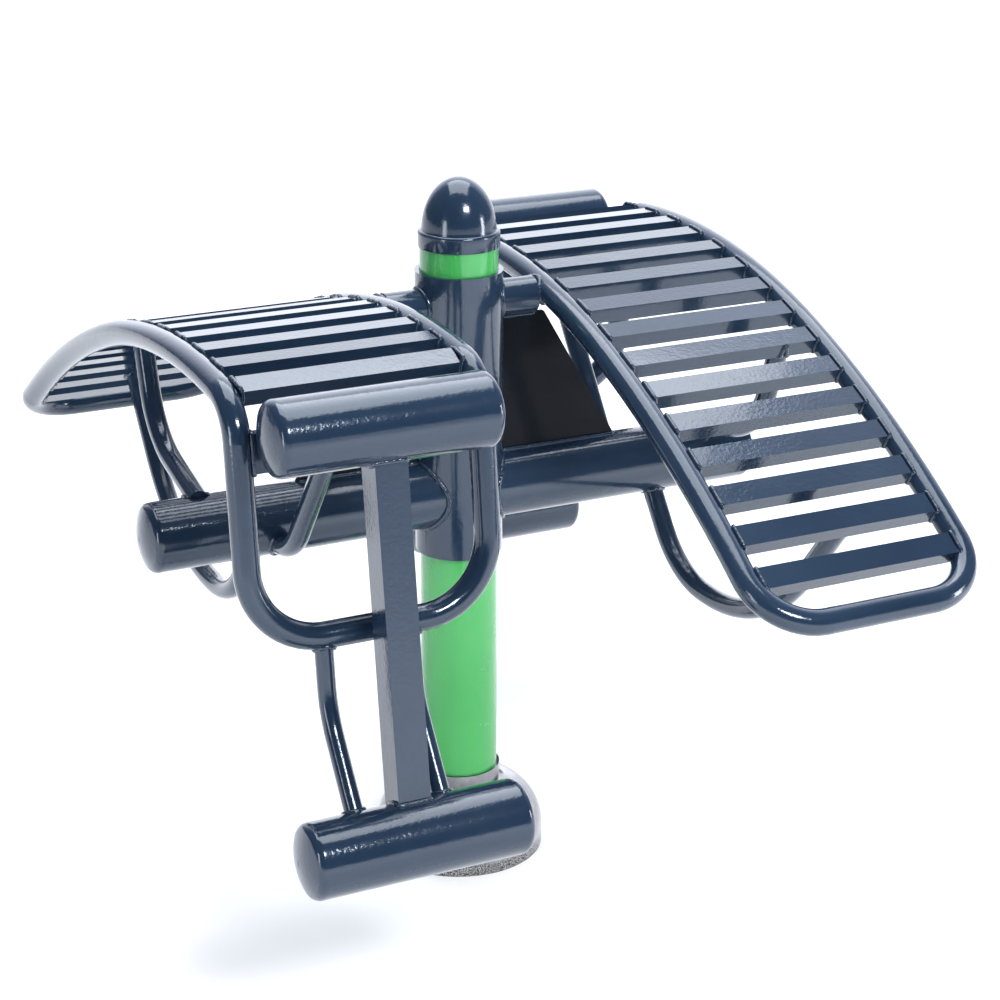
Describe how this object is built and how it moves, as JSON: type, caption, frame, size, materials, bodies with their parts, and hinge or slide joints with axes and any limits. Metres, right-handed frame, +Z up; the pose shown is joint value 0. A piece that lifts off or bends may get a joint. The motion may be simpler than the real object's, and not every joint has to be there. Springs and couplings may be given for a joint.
{
  "type": "sit-up bench",
  "caption": "Double outdoor sit-up bench: two curved, slatted steel-tube benches with knee and ankle rollers, back to back on one round post.",
  "frame": {"origin": "axis of the upright post at ground level, on the underside of its foot flange", "axes": "+X along the cross tube from the post towards bench B, +Y towards bench B's foot end, +Z up the post; bench A is bench B turned half round Z"},
  "size_m": [0.8724, 1.1858, 0.927],
  "materials": {
    "grey_paint": "gloss",
    "green_paint": "gloss",
    "polished_cover": "satin",
    "galvanised_flange": "satin"
  },
  "bodies": {
    "root": {"base_flange": "galvanised_flange", "post": "green_paint", "foot_cover": "polished_cover", "post_cap": "grey_paint", "sleeve": "grey_paint", "beam_a": "grey_paint", "beam_b": "grey_paint", "stay_a": "grey_paint", "stay_b": "grey_paint", "corner_plates": "grey_paint", "frame_a": "grey_paint", "frame_b": "grey_paint", "knee_slats": "grey_paint", "knee_roller_a": "grey_paint", "knee_roller_b": "grey_paint", "ankle_roller_a": "grey_paint", "ankle_roller_b": "grey_paint", "end_caps_a": "grey_paint", "end_caps_b": "grey_paint", "foot_bar_a": "grey_paint", "foot_bar_b": "grey_paint", "foot_struts_a": "grey_paint", "foot_struts_b": "grey_paint", "back_strut_a": "grey_paint", "back_strut_b": "grey_paint", "head_strut_a": "grey_paint", "head_strut_b": "grey_paint", "crest_strut_a": "grey_paint", "crest_strut_b": "grey_paint", "slat_a_01": "grey_paint", "slat_a_02": "grey_paint", "slat_a_03": "grey_paint", "slat_a_04": "grey_paint", "slat_a_05": "grey_paint", "slat_a_06": "grey_paint", "slat_a_07": "grey_paint", "slat_a_08": "grey_paint", "slat_a_09": "grey_paint", "slat_a_10": "grey_paint", "slat_a_11": "grey_paint", "slat_a_12": "grey_paint", "slat_a_13": "grey_paint", "slat_a_14": "grey_paint", "slat_a_15": "grey_paint", "slat_b_01": "grey_paint", "slat_b_02": "grey_paint", "slat_b_03": "grey_paint", "slat_b_04": "grey_paint", "slat_b_05": "grey_paint", "slat_b_06": "grey_paint", "slat_b_07": "grey_paint", "slat_b_08": "grey_paint", "slat_b_09": "grey_paint", "slat_b_10": "grey_paint", "slat_b_11": "grey_paint", "slat_b_12": "grey_paint", "slat_b_13": "grey_paint", "slat_b_14": "grey_paint", "slat_b_15": "grey_paint"}
  },
  "joints": []
}
